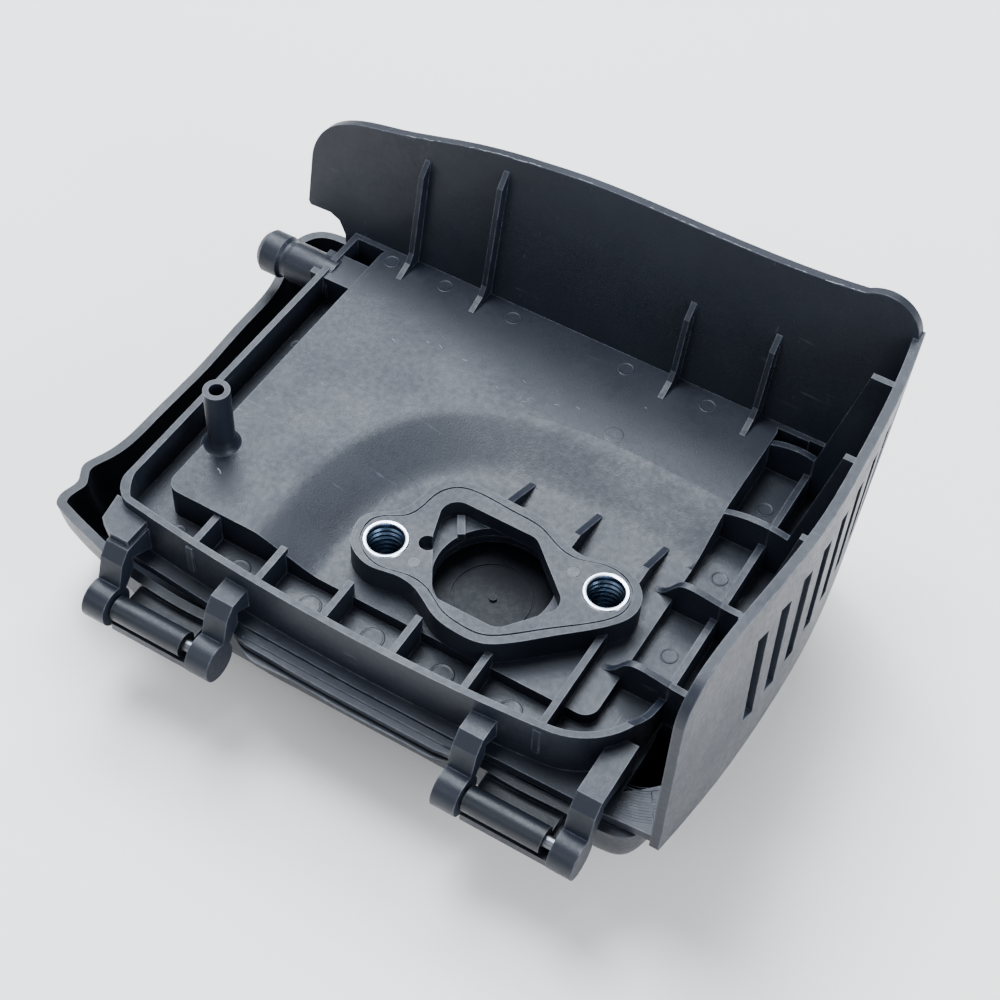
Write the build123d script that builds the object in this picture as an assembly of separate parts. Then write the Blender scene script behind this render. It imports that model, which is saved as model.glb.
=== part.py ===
"""Air filter housing of a small engine, built as an assembly of separate pieces.

Frame: origin at the middle of the two stud holes, on the carburettor face of the flange.
+Z points out of the flange towards the carburettor, +X runs along the hinge line,
+Y runs from the hinges towards the tall back wall. All lengths are in millimetres.
"""

from build123d import *
import math
import os

# ---- levels, all measured from the carburettor face -------------------------------
RIM = -1.5  # top edge of the wall that runs round the filter chamber
DECK_TOP = -1.5  # high part of the chamber roof
DECK_LOW = -6.0  # sunken part of the chamber roof round the flange
FLOOR_TOP = -12.5  # upper face of the base plate
FLOOR_BOTTOM = -14.5
LEDGE_TOP = -13.3  # lower step along the front lip
TROUGH_TOP = -9.0  # floor of the trough between the chamber and the wall round it
TROUGH_BOTTOM = -11.0
SKIRT_BOTTOM = -20.5  # lower edge of the pocket that holds the filter's frame
LOW_RIM = -5.8  # top edge of that wall on the side of the gussets
RING_T = 1.4
WALL = 2.0
RIB = 1.4

# ---- chamber roof and the wall round it ---------------------------------------------
DECK_X = (-63.2, 29.8)
DECK_Y = (-16.3, 61.5)
RING_X = (-71.2, 39.2)
RING_BACK = 61.5
RING_FRONT = [(-67.0, -23.2), (-45.0, -25.4), (-20.0, -26.6), (5.0, -26.4), (25.0, -25.0)]
RING_NOSE = [(34.5, -20.6), (39.2, -10.5)]
CHAMBER_RIB_X = [-51.0, -36.2, -21.4, -6.6, 8.2, 23.6]

# ---- flange ---------------------------------------------------------------------------
STUD_SPACING = 42.0
STUD_ANGLE = 15.5
SLEEVE_R = 4.45
SLEEVE_BORE_R = 3.5
SLEEVE_TOP = 0.2
SLEEVE_BOTTOM = -13.0
SLEEVE_BOSS_R = 6.2
MOUTH_LEDGE = -3.8
THROAT_R = 11.6
GROOVE = (1.7, 2.05)  # seal groove round the flange: distances of its two sides from the edge
GROOVE_DEPTH = 0.3
CUP_R = 15.0
CUP_FLOOR = -10.4

# ---- hose connections ------------------------------------------------------------------
SPIGOT_Y = 50.8
SPIGOT_Z = RIM - 4.3
SPIGOT_R = 4.4
SPIGOT_BEAD_R = 4.7
NIPPLE_R = 2.65
SPIGOT_END = -87.4
NIPPLE_AT = (-60.4, -1.6)
SPUR = [(-70.6, -21.5), (-69.6, -27.4), (-66.2, -29.6), (-62.0, -29.6), (-62.0, -21.5)]

# ---- tall walls -------------------------------------------------------------------------
BACK_LEAN = 10.5
BACK_T = 2.2
BACK_FOOT_Y = 61.5
SIDE_T = 1.9
SIDE_Y = [-28.0, -19.0, -8.0, 8.0, 20.0, 32.0, 52.0, 72.0]
SIDE_LOW_X = [50.4, 51.8, 53.1, 54.0, 54.1, 53.5, 51.0, 48.2]  # outer face at SIDE_BOTTOM
SIDE_HIGH_X = [50.4, 50.9, 51.7, 53.1, 53.7, 53.4, 52.2, 49.6]  # outer face at SIDE_HIGH
SIDE_BOTTOM = -15.1
SIDE_HIGH = 29.0
SIDE_END = 42.0
SIDE_RIM = [
    (-40.0, 20.0), (-28.0, 20.0), (-27.8, 25.0), (-26.4, 28.2), (-23.6, 30.4), (-19.0, 31.4),
    (-12.0, 31.4), (0.0, 30.4),
    (15.0, 29.4), (30.0, 28.8), (45.0, 28.4), (58.0, 28.2), (65.0, 28.6), (72.0, 29.4),
]
SLOTS = 9
SLOT_PITCH = 7.75
SLOT_FIRST_Y = -3.9
SLOT_W = 3.8
SLOT_END_Y = 61.0
SLOT_SLANT = 1.2
SLOT_Z = (-3.6, 20.8)
FIN_Y = [-5.0, 15.5, 36.0, 56.5]
FIN_KNEE_X = [45.6, 44.4, 43.0, 39.2]
FIN_HEAD_X = [50.3, 50.5, 49.0, 45.4]

# ---- hinge --------------------------------------------------------------------------------
AXIS_Y = -36.0
AXIS_Z = RIM - 14.8
PIN_R = 1.25
PIN_HOLE_R = 1.25
BARREL_BORE_R = 1.31
BARREL_R = 2.6
LUG_R = 4.1
LUG_W = 5.0
LUG_BLIND = 1.2  # closed end of the pin hole in the right-hand lug of each pair
LUG_X = [-66.5, -42.5, 11.0, 34.7]
BARREL_X = [(-61.0, -45.2), (16.5, 32.4)]

# ---- cover ----------------------------------------------------------------------------------
COVER_RIM = -15.0
COVER_FLOOR = -40.0
COVER_WALL = 2.0
COVER_FRONT = -30.4  # front face of the cover under the bulge of its rim
COVER_BULGE = 0.6
LATCH_X = (-24.0, -4.0)
LATCH_Y = 73.6
LATCH_Z = -23.0
LATCH_PIN_R = 1.25
LATCH_BORE_R = 1.31
LATCH_SWING = 25.0

# ---- filter -----------------------------------------------------------------------------------
FRAME_BOTTOM = -20.0
PLEAT_X = (-59.0, 25.0)
PLEAT_Y = (-13.0, 56.0)
PLEAT_Z = (-33.0, -16.2)
PLEATS = 16
FOAM_Z = (-37.2, -33.6)


def block(x, y, z):
    """Box between two limits on each axis."""
    size = (x[1] - x[0], y[1] - y[0], z[1] - z[0])
    centre = ((x[0] + x[1]) / 2, (y[0] + y[1]) / 2, (z[0] + z[1]) / 2)
    return Pos(*centre) * Box(*size)


def prism(points, z):
    """Straight-edged outline pulled up from z[0] to z[1]."""
    face = make_face(Polyline(*points, close=True))
    return Pos(0, 0, z[0]) * extrude(face, z[1] - z[0], dir=(0, 0, 1))


def plate_x(profile, x):
    """Outline of (y, z) points, x[0] to x[1] thick along X."""
    face = make_face(Polyline(*[(x[0], y, z) for y, z in profile], close=True))
    return extrude(face, x[1] - x[0], dir=(1, 0, 0))


def plate_y(profile, y):
    """Outline of (x, z) points, y[0] to y[1] thick along Y."""
    face = make_face(Polyline(*[(x, y[0], z) for x, z in profile], close=True))
    return extrude(face, y[1] - y[0], dir=(0, 1, 0))


def rod_x(y, z, r, x):
    """Round bar along X."""
    return Pos((x[0] + x[1]) / 2, y, z) * Rot(0, 90, 0) * Cylinder(r, x[1] - x[0])


def rod_z(x, y, r, z):
    """Round bar along Z."""
    return Pos(x, y, (z[0] + z[1]) / 2) * Cylinder(r, z[1] - z[0])


def smooth_face(points, z):
    """Flat face inside a closed smooth curve."""
    curve = Spline(*[(x, y, z) for x, y in points], periodic=True)
    return make_face(curve)


def ring_outline(inset):
    """Closed wire of the wall round the chamber, moved inwards by inset."""
    left, right = RING_X[0] + inset, RING_X[1] - inset
    front = [(x, y + inset) for x, y in RING_FRONT]
    nose = (RING_NOSE[0][0] - inset * 0.7, RING_NOSE[0][1] + inset * 0.7)
    nose_end = (right, RING_NOSE[1][1])
    corner = (left + 1.3, front[0][1] + 2.0)
    back = RING_BACK - inset
    edges = [
        Line((right, back), (left, back)),
        Line((left, back), (left, front[0][1] + 5.0)),
        ThreePointArc((left, front[0][1] + 5.0), corner, front[0]),
        Spline(*front),
        ThreePointArc(front[-1], nose, nose_end),
        Line(nose_end, (right, back)),
    ]
    return make_face(edges)


def ring_prism(inset, z):
    """Block that fills the ring outline between two levels."""
    return Pos(0, 0, z[0]) * extrude(ring_outline(inset), z[1] - z[0], dir=(0, 0, 1))


def stud_points():
    """Centres of the two stud holes."""
    dx = STUD_SPACING / 2 * math.cos(math.radians(STUD_ANGLE))
    dy = STUD_SPACING / 2 * math.sin(math.radians(STUD_ANGLE))
    return [(-dx, -dy), (dx, dy)]


def sunken_region(shift, low, high):
    """Tool that sinks the roof round the flange, with a soft S-shaped edge."""
    curve = [(-31, -26), (-30.5, -12), (-30.5, 0), (-27, 12), (-19, 21.5), (-8, 25.5), (8, 26.5), (34, 26)]
    steps = [(-3.0, 0.0), (-0.6, 0.06), (2.4, 0.27), (5.4, 0.51), (8.4, 0.75), (11.0, 0.94), (13.4, 1.0)]

    def section(grow, z):
        rim = []
        for x, y in curve:
            away = math.atan2(y + 14.0, x - 14.0)
            rim.append((x + grow * math.cos(away), y + grow * math.sin(away), z))
        corners = [(60.0, rim[-1][1], z), (60.0, -40.0, z), (rim[0][0], -40.0, z)]
        path = [rim[-1], *corners, rim[0]]
        return make_face([Spline(*rim)] + [Line(a, b) for a, b in zip(path, path[1:])])

    sections = [section(shift + grow, low + part * (high - low)) for grow, part in steps]
    return loft(sections) + Pos(0, 0, high) * extrude(section(shift + steps[-1][0], 0.0), 4.0, dir=(0, 0, 1))


def deck_block(inset, drop):
    """Solid shape of the chamber roof, shrunk by inset and lowered by drop."""
    x = (DECK_X[0] + inset, DECK_X[1] - inset)
    y = (DECK_Y[0] + inset, DECK_Y[1] - inset)
    body = block(x, y, (FLOOR_BOTTOM - inset, DECK_TOP - drop))
    body = fillet(body.edges().filter_by(Axis.Z), 3.0 - inset * 0.5)
    return body - sunken_region(inset * 0.6, DECK_LOW - drop, DECK_TOP - drop)


def flange_outline(grow):
    """Rounded rhomboid of the flange, as a smooth closed curve."""
    points = [
        (-27.0, -5.6), (-25.6, -1.4), (-22.0, 1.4), (-20.4, 5.4), (-19.6, 9.6), (-17.0, 13.2),
        (-12.4, 14.6),
        (-4.0, 14.6), (3.4, 14.0), (8.6, 11.7), (13.4, 10.7), (18.4, 11.9), (23.4, 11.2), (26.6, 7.8),
        (26.9, 3.6),
        (24.4, -0.6), (17.0, -7.8), (10.6, -13.8), (6.6, -16.2), (1.6, -16.6), (-3.6, -15.6), (-9.0, -12.6),
        (-14.0, -11.6), (-19.6, -12.4), (-24.4, -10.6),
    ]
    moved = []
    for x, y in points:
        away = math.hypot(x, y)
        moved.append((x + grow * x / away, y + grow * y / away))
    return moved


def opening_outline():
    """Six-sided mouth of the intake in the flange."""
    return [(-16.4, 9.6), (3.4, 9.6), (15.6, -1.4), (7.4, -12.0), (-6.2, -12.0), (-13.4, 0.0)]


def intake_mouth(z):
    """Tool that opens the flange."""
    mouth = prism(opening_outline(), z)
    mouth = fillet(mouth.edges().filter_by(Axis.Z), 3.4)
    return mouth + rod_z(-13.2, -2.2, 1.7, z)


def back_face():
    """Outline of the tall back wall in its own plane, x against height."""
    crest = [
        (-83.6, 14.0), (-82.8, 18.0), (-80.2, 22.0), (-75.6, 24.8), (-64.0, 27.4), (-52.0, 30.2),
        (-41.0, 32.4),
        (-31.0, 33.6), (-22.0, 34.4), (0.0, 34.6), (20.0, 34.6), (37.6, 35.8),
    ]
    lobe = [(37.6, 35.8), (40.0, 36.8), (43.0, 37.0), (46.2, 35.9), (48.6, 33.6), (49.6, 31.0)]
    foot = [
        (49.6, 31.0), (49.6, -11.0), (-70.6, -11.0), (-72.6, -9.0), (-73.8, -1.6), (-75.6, 1.2),
        (-78.0, 2.2),
        (-83.0, 2.0), (-83.6, 2.8), (-83.6, 14.0),
    ]
    edges = [Spline(*[(x, 0.0, z) for x, z in points]) for points in (crest, lobe)]
    edges += [Line((a[0], 0.0, a[1]), (b[0], 0.0, b[1])) for a, b in zip(foot, foot[1:])]
    return make_face(edges)


def back_wall():
    """Tall leaning back wall with four slim ribs on its inner side."""
    plate = extrude(back_face(), BACK_T, dir=(0, 1, 0))
    lean = Pos(0, BACK_FOOT_Y, RIM) * Rot(-BACK_LEAN, 0, 0)
    wall = lean * plate
    for x, head in zip([-56.0, -38.2, 6.0, 24.2], [24.5, 29.5, 18.5, 19.5]):
        profile = [
            (0.4, -3.0), (0.4, head), (-0.2, head), (-2.2, head - 3.2), (-2.6, 3.0), (-3.6, 0.9),
            (-7.0, -1.2),
            (-7.0, -3.0),
        ]
        wall += lean * plate_x(profile, (x - 0.6, x + 0.6))
    return wall


def side_x(y, z):
    """X of the side wall's outer face at a height."""
    part = (z - SIDE_BOTTOM) / (SIDE_HIGH - SIDE_BOTTOM)
    for i in range(len(SIDE_Y) - 1):
        if y <= SIDE_Y[i + 1]:
            break
    along = (y - SIDE_Y[i]) / (SIDE_Y[i + 1] - SIDE_Y[i])
    low = SIDE_LOW_X[i] + along * (SIDE_LOW_X[i + 1] - SIDE_LOW_X[i])
    high = SIDE_HIGH_X[i] + along * (SIDE_HIGH_X[i + 1] - SIDE_HIGH_X[i])
    return low + part * (high - low)


def side_section(z):
    """Flat slice of the bowed side wall."""
    outer = [(side_x(y, z), y, z) for y in SIDE_Y]
    inner = [(x - SIDE_T, y, z) for x, y, z in outer]
    ends = [Line(outer[-1], inner[-1]), Line(inner[0], outer[0])]
    return make_face([Spline(*outer), ends[0], Spline(*inner[::-1]), ends[1]])


def side_wall():
    """Bowed side wall with its shaped rim and cooling slots."""
    wall = loft([side_section(SIDE_BOTTOM), side_section(SIDE_END)], ruled=True)
    above = Spline(*[(40.0, y, z) for y, z in SIDE_RIM[1:]])
    first, last = (40.0, *SIDE_RIM[1]), (40.0, *SIDE_RIM[-1])
    far_top, near_top, near = (40.0, 80.0, 60.0), (40.0, -40.0, 60.0), (40.0, -40.0, SIDE_RIM[1][1])
    beyond = (40.0, 80.0, SIDE_RIM[-1][1])
    corners = [last, beyond, far_top, near_top, near, first]
    lines = [Line(a, b) for a, b in zip(corners, corners[1:])]
    wall -= extrude(make_face([above, *lines]), 20.0, dir=(1, 0, 0))
    low_z, high_z = SLOT_Z
    for i in range(SLOTS):
        y = SLOT_FIRST_Y + i * SLOT_PITCH
        end = min(y + SLOT_W, SLOT_END_Y)
        shape = [(y, low_z), (end, low_z - SLOT_SLANT), (end, high_z - SLOT_SLANT), (y, high_z)]
        wall -= plate_x(shape, (44.0, 60.0))
    return wall


def fin(index):
    """Curved gusset between the chamber roof and the side wall."""
    y = FIN_Y[index]
    knee, head = FIN_KNEE_X[index], FIN_HEAD_X[index]
    inner = DECK_X[1] - 1.0
    crest, foot, top = RIM + 0.6, FLOOR_TOP - 0.5, RIM + 28.0
    bite = SIDE_T / 2
    if y < 30.0:
        start, roof = DECK_X[1] - 4.0, DECK_LOW
        left = [(inner, foot), (inner, roof - 0.6), (start, roof - 0.6)]
        curve = [(start, roof), (start + 2.0, roof + 0.8), (start + 5.0, crest - 0.4), (start + 9.0, crest)]
        curve.append((knee, RIM + 0.2))
    else:
        left = [(inner, foot)]
        curve = [(inner, RIM - 1.0), (inner + 2.2, crest - 0.7), (inner + 5.0, crest), (knee, RIM + 0.2)]
    head = min(head, side_x(y, top) - SIDE_T - 1.6)
    right = [(head, top), (side_x(y, top) - bite, top), (side_x(y, foot) - bite, foot)]
    path = left + [curve[0]]
    edges = [Line((a[0], y, a[1]), (b[0], y, b[1])) for a, b in zip(path, path[1:])]
    edges.append(Spline(*[(x, y, z) for x, z in curve]))
    path = [curve[-1]] + right + [left[0]]
    edges += [Line((a[0], y, a[1]), (b[0], y, b[1])) for a, b in zip(path, path[1:])]
    return extrude(make_face(edges), RIB / 2, dir=(0, 1, 0), both=True)


def lug(x):
    """Hooked hinge arm: flat top plate, upright front face and a round foot."""
    z = RIM - 3.7
    root = -17.0 if x > 30.0 else -24.0
    profile = [
        (root, z), (-30.4, z), (-32.6, z - 2.5), (-33.5, RIM - 9.0), (-34.4, AXIS_Z + 3.4),
        (AXIS_Y, AXIS_Z + 3.6),
        (AXIS_Y, AXIS_Z), (-32.8, AXIS_Z + 1.8), (-29.6, RIM - 9.6), (-29.4, z - 3.0), (root, z - 6.0),
    ]
    arm = plate_x(profile, (x, x + LUG_W))
    arm += rod_x(AXIS_Y, AXIS_Z, LUG_R, (x, x + LUG_W))
    blind = LUG_BLIND if x in LUG_X[1::2] else -1.0
    return arm - rod_x(AXIS_Y, AXIS_Z, PIN_HOLE_R, (x - 1.0, x + LUG_W - blind))


def base_plate():
    """Floor outside and inside the ring wall, with the front lip."""
    ledge = [
        (-43.0, -26.0), (-41.0, -29.4), (-37.0, -31.1), (-34.6, -31.7), (-24.0, -32.1),
        (-12.0, -32.3), (7.0, -32.3),
        (10.6, -31.8), (13.0, -29.4), (14.0, -26.0),
    ]
    lip = [
        (RING_X[0], 64.0), (RING_X[0], -22.0), (-66.5, -26.6), (-43.0, -28.4), (-37.0, -28.8),
        (-12.0, -29.2), (10.5, -29.1),
        (16.0, -28.6), (38.0, -28.2), (49.2, -27.4), (51.8, 0.0), (52.6, 18.0), (51.6, 38.0),
        (49.4, 56.0), (48.4, 62.0),
        (46.0, 64.0),
    ]
    right_bay = [
        (39.4, -6.2), (47.6, -6.2), (47.6, -15.6), (45.0, -18.0), (42.4, -20.6), (40.0, -22.4),
        (40.0, -12.0),
    ]
    tongue = block((LATCH_X[0] + 1.5, LATCH_X[1] - 1.5), (60.0, LATCH_Y + 1.0), (FLOOR_BOTTOM, FLOOR_TOP))
    plate = prism(lip, (FLOOR_BOTTOM, FLOOR_TOP)) - prism(right_bay, (FLOOR_BOTTOM - 1.0, FLOOR_TOP + 1.0))
    return plate + prism(ledge, (FLOOR_BOTTOM, LEDGE_TOP)) + tongue


def spigot():
    """Breather pipe on the left with a rounded bead at its tip, and the box channel behind it."""
    y, z, tip = SPIGOT_Y, SPIGOT_Z, SPIGOT_END
    profile = [
        (tip, 0.0), (tip, SPIGOT_R - 1.0), (tip + 0.5, SPIGOT_R - 0.4), (tip + 1.4, SPIGOT_BEAD_R),
        (tip + 5.4, SPIGOT_BEAD_R),
        (tip + 6.2, SPIGOT_R - 0.3), (tip + 7.2, SPIGOT_R - 0.3), (tip + 7.8, SPIGOT_R),
        (-69.0, SPIGOT_R), (-69.0, 0.0),
    ]
    face = make_face(Polyline(*[(x, y + r, z) for x, r in profile], close=True))
    pipe = revolve(face, Axis((0.0, y, z), (1.0, 0.0, 0.0)), 360)
    return pipe + block((-73.2, -62.0), (y - 3.9, y + 3.9), (TROUGH_TOP - 0.5, RIM - 0.5))


def nipple():
    """Upright vent pipe on the roof, with a small flare at its foot."""
    x, y = NIPPLE_AT
    pipe = rod_z(x, y, NIPPLE_R, (DECK_TOP - 1.0, DECK_TOP + 15.0))
    flare = Pos(x, y, DECK_TOP + 1.2) * Cone(NIPPLE_R + 0.8, NIPPLE_R, 2.6)
    return pipe + flare + Pos(x, y, DECK_TOP) * Cone(NIPPLE_R + 1.6, NIPPLE_R + 0.6, 0.9)


def flange_blank(low, high):
    """The flange as a plain plate."""
    return extrude(smooth_face(flange_outline(0.0), low), high - low, dir=(0, 0, 1))


def chamber_tray():
    """Base plate, wall, trough, chamber roof, lugs and hose connections, before the hollows are cut."""
    body = base_plate()
    body -= ring_prism(WALL, (SKIRT_BOTTOM - 1.0, TROUGH_BOTTOM))
    body += ring_prism(0.0, (SKIRT_BOTTOM, TROUGH_TOP))
    body -= ring_prism(WALL, (SKIRT_BOTTOM - 1.0, TROUGH_TOP + 1.0))
    body += ring_prism(0.0, (TROUGH_TOP, RIM)) - ring_prism(RING_T, (TROUGH_TOP - 1.0, RIM + 1.0))
    low_side = [(-16.0, RIM), (-6.0, LOW_RIM), (60.5, LOW_RIM), (60.5, RIM + 1.0), (-16.0, RIM + 1.0)]
    body -= plate_x(low_side, (RING_X[1] - 3.0, RING_X[1] + 1.0))
    body += ring_prism(WALL - 0.5, (TROUGH_BOTTOM, TROUGH_TOP))
    body += deck_block(0.0, 0.0)
    for x in CHAMBER_RIB_X:
        body += block((x - RIB / 2, x + RIB / 2), (-25.4, -15.5), (TROUGH_TOP - 0.5, RIM - 1.0))
    body += block((23.6 - RIB / 2, 23.6 + RIB / 2), (-16.0, 0.0), (DECK_LOW - 0.5, RIM - 1.0))
    for x in (-5.9, 8.8, 23.4):
        profile = [
            (8.0, DECK_LOW - 0.5), (8.0, RIM + 0.4), (15.5, RIM + 0.2), (25.2, DECK_LOW + 0.1),
            (25.2, DECK_LOW - 0.5),
        ]
        body += plate_x(profile, (x - RIB / 2, x + RIB / 2))
    for x in LUG_X:
        body += lug(x)
    body += prism(SPUR, (RIM - 4.6, RIM - 2.2))
    return body + spigot() + nipple()


def fins():
    """The four gussets."""
    group = fin(0)
    for i in range(1, len(FIN_Y)):
        group += fin(i)
    return group


def walls():
    """Tall back wall and bowed side wall, trimmed to each other."""
    behind = Pos(0, BACK_FOOT_Y, RIM) * Rot(-BACK_LEAN, 0, 0) * block((-120, 90), (BACK_T, 40), (-60, 80))
    return back_wall() + side_wall() - behind


def chamber_hollows(body):
    """Cuts everything that is open inside the chamber."""
    body -= deck_block(WALL, WALL)
    for x, y in stud_points():
        body += rod_z(x, y, SLEEVE_BOSS_R, (SLEEVE_BOTTOM, DECK_LOW - 0.5))
        body -= rod_z(x, y, SLEEVE_R, (SLEEVE_BOTTOM - 1.0, 1.0))
    body -= rod_z(0.0, 0.0, THROAT_R, (SLEEVE_BOTTOM - 1.0, 1.0))
    body -= rod_x(SPIGOT_Y, SPIGOT_Z, 2.5, (-92.0, -60.0))
    return body - rod_z(*NIPPLE_AT, 1.5, (DECK_TOP - 6.0, DECK_TOP + 20.0))


def base_housing():
    """The tray of the large moulding: chamber, wall, trough, lugs and hose connections."""
    left_of_wall = block((0.0, RING_X[1]), (-40.0, 90.0), (-40.0, 60.0))
    body = chamber_tray() + (fins() & left_of_wall)
    body = chamber_hollows(body)
    return body - flange_blank(DECK_LOW, 1.0)


def carburettor_flange():
    """The thick flange of the large moulding, with the mouth, the throat and the seal groove."""
    body = flange_blank(DECK_LOW, 0.0)
    for x, y in stud_points():
        body -= rod_z(x, y, SLEEVE_R, (DECK_LOW - 1.0, 1.0))
    body -= intake_mouth((MOUTH_LEDGE, 1.0))
    body -= rod_z(0.0, 0.0, THROAT_R, (DECK_LOW - 1.0, MOUTH_LEDGE + 0.1))
    body += Pos(-11.2, 6.6, MOUTH_LEDGE + 0.4) * Rot(0, 0, -58) * Box(4.6, 1.5, 1.6)
    outer, inner = [smooth_face(flange_outline(-inset), -GROOVE_DEPTH) for inset in GROOVE]
    return body - extrude(outer - inner, 1.0, dir=(0, 0, 1))


def carburettor_shroud():
    """The tall walls of the large moulding, with the outer part of each gusset."""
    right_of_wall = block((RING_X[1], 90.0), (-40.0, 90.0), (-40.0, 60.0))
    body = walls() + (fins() & right_of_wall)
    return (body - chamber_tray()).solids().sort_by(SortBy.VOLUME)[-1]


def sleeve(index):
    """Steel spacer tube pressed into a stud hole."""
    x, y = stud_points()[index]
    tube = rod_z(x, y, SLEEVE_R, (SLEEVE_BOTTOM, SLEEVE_TOP))
    tube -= rod_z(x, y, SLEEVE_BORE_R, (SLEEVE_BOTTOM - 1.0, SLEEVE_TOP + 1.0))
    return chamfer(tube.edges().filter_by(GeomType.CIRCLE).group_by(Axis.Z)[-1], 0.25)


def intake_baffle():
    """Shallow dish hung under the intake mouth, open on the side nearest the filter's middle."""
    top = DECK_LOW - WALL - 0.1
    base = CUP_FLOOR - 1.3
    outer = CUP_R + 1.6
    dish = rod_z(0, 0, outer, (base, top))
    for x, y in stud_points():
        dish -= rod_z(x, y, SLEEVE_BOSS_R + 0.3, (base - 1.0, top + 1.0))
    dish -= rod_z(0, 0, CUP_R, (CUP_FLOOR, top + 1.0))
    groove = rod_z(0, 0, 8.2, (CUP_FLOOR - 0.25, top)) - rod_z(0, 0, 7.4, (base - 1.0, top + 1.0))
    dish -= groove
    dish += rod_z(0, 0, 0.8, (CUP_FLOOR - 0.1, CUP_FLOOR + 0.5))
    dish -= prism([(4, 0), (-14, -26), (20, -26), (26, 10), (14, 14)], (CUP_FLOOR + 0.2, top + 1.0))
    post = CUP_R + 0.8
    for angle in (-90, -50, -12):
        dish += Rot(0, 0, angle) * rod_z(post, 0, 0.8, (CUP_FLOOR - 0.2, top))
    for angle in (105, 160):
        dish += Rot(0, 0, angle) * block((CUP_R - 1.2, CUP_R + 0.4), (-0.5, 0.5), (CUP_FLOOR - 0.2, top))
    return dish - block((-20, 20), (-20, DECK_Y[0] + WALL + 0.2), (base - 1.0, top + 1.0))


def hinge_pin(index):
    """Steel pin through one pair of lugs and the barrel between them."""
    left, right = LUG_X[2 * index], LUG_X[2 * index + 1] + LUG_W
    pin = rod_x(AXIS_Y, AXIS_Z, PIN_R, (left + 0.6, right - LUG_BLIND - 0.1))
    return chamfer(pin.edges().filter_by(GeomType.CIRCLE), 0.25)


def cover_outline():
    """Outer line of the cover's rim."""
    front = [
        (-85.4, -23.6), (-80.0, -25.4), (-72.0, -27.6), (-66.0, -29.2), (-58.0, -30.2),
        (-45.0, -30.4), (-37.4, -30.8),
        (-34.4, -32.5), (-26.0, -33.0), (-12.0, -33.3), (3.0, -33.2), (8.8, -32.7), (12.0, -30.9),
        (20.0, -30.4),
        (32.0, -30.2), (40.0, -30.0), (44.6, -28.8), (46.8, -24.6),
    ]
    right = [(47.4, -10.0), (48.0, 18.0), (47.2, 40.0), (45.4, 58.0), (42.0, 66.0), (36.0, 69.0)]
    back = [
        (20.0, 70.4), (-10.0, 71.0), (-40.0, 71.0), (-66.0, 71.2), (-79.4, 70.9), (-86.5, 69.2),
        (-89.3, 64.2),
    ]
    left = [
        (-86.4, 51.6), (-85.2, 37.0), (-84.6, 21.9), (-84.9, 5.0), (-86.7, -8.8), (-87.8, -13.0),
        (-86.2, -16.4), (-86.9, -20.4),
    ]
    return front + right + back + left


def cover_section(inset, z, crown):
    """Smooth closed outline of the cover, inset sideways and pulled in by the crown of its outer face."""
    points = cover_outline()
    count = len(points)
    moved = []
    for i, (x, y) in enumerate(points):
        (ax, ay), (bx, by) = points[i - 1], points[(i + 1) % count]
        length = math.hypot(bx - ax, by - ay)
        nx, ny = -(by - ay) / length, (bx - ax) / length
        bulge = min(0.0, y - COVER_FRONT) * min(1.0, crown / COVER_BULGE)
        y -= bulge
        pull_x = crown * (0.45 if x > 0 else 0.25)
        pull_y = crown * (1.0 if y < 20 else 0.3)
        px = x + nx * inset - pull_x * (x + 20.0) / 65.0
        py = y + ny * inset - pull_y * (y - 20.0) / 50.0
        moved.append((px, py))
    return smooth_face(moved, z)


def cover_shell(inset, low):
    """Lofted dish, from just above the rim down to the outer face."""
    depth = COVER_RIM - low
    steps = [(0.0, 0.0), (0.12, 0.04), (0.3, 0.10), (0.65, 0.36), (0.88, 0.68), (1.0, 1.0)]
    sections = [cover_section(inset, COVER_RIM - part * depth, 15.0 * pull) for part, pull in steps]
    return loft(sections)


def outer_cover():
    """Dished cover with two hinge barrels, inner stiffeners and the ears of the latch."""
    hollow = cover_shell(COVER_WALL, COVER_FLOOR + COVER_WALL)
    lid_cut = prism([(-100, -50), (60, -50), (60, 90), (-100, 90)], (COVER_RIM - 0.01, COVER_RIM + 5.0))
    body = cover_shell(0.0, COVER_FLOOR)
    for left, right in BARREL_X:
        body += block((left, right), (AXIS_Y, -27.0), (AXIS_Z - BARREL_R, AXIS_Z - 0.8))
        body += block((left - 0.2, right + 1.9), (AXIS_Y - 2.4, -27.0), (AXIS_Z - 4.2, AXIS_Z - 2.4))
    for x in (LATCH_X[0] - 2.4, LATCH_X[1]):
        ear = [
            (66.0, LATCH_Z - 4.0), (LATCH_Y, LATCH_Z - 2.6), (LATCH_Y, LATCH_Z + 2.6),
            (66.0, LATCH_Z + 5.0),
        ]
        body += plate_x(ear, (x, x + 2.4)) + rod_x(LATCH_Y, LATCH_Z, 2.6, (x, x + 2.4))
    body -= hollow
    body -= lid_cut
    for left, right in BARREL_X:
        body += rod_x(AXIS_Y, AXIS_Z, BARREL_R, (left, right))
        body -= rod_x(AXIS_Y, AXIS_Z, BARREL_BORE_R, (left - 1.0, right + 1.0))
    for x in (-55.0, -20.0, 15.0):
        body += block((x - 0.8, x + 0.8), (-10.0, 58.0), (COVER_FLOOR + 1.0, FOAM_Z[0] - 0.1))
    body -= rod_x(LATCH_Y, LATCH_Z, LATCH_PIN_R, (LATCH_X[0] - 5.0, LATCH_X[1] + 5.0))
    return body


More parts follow.
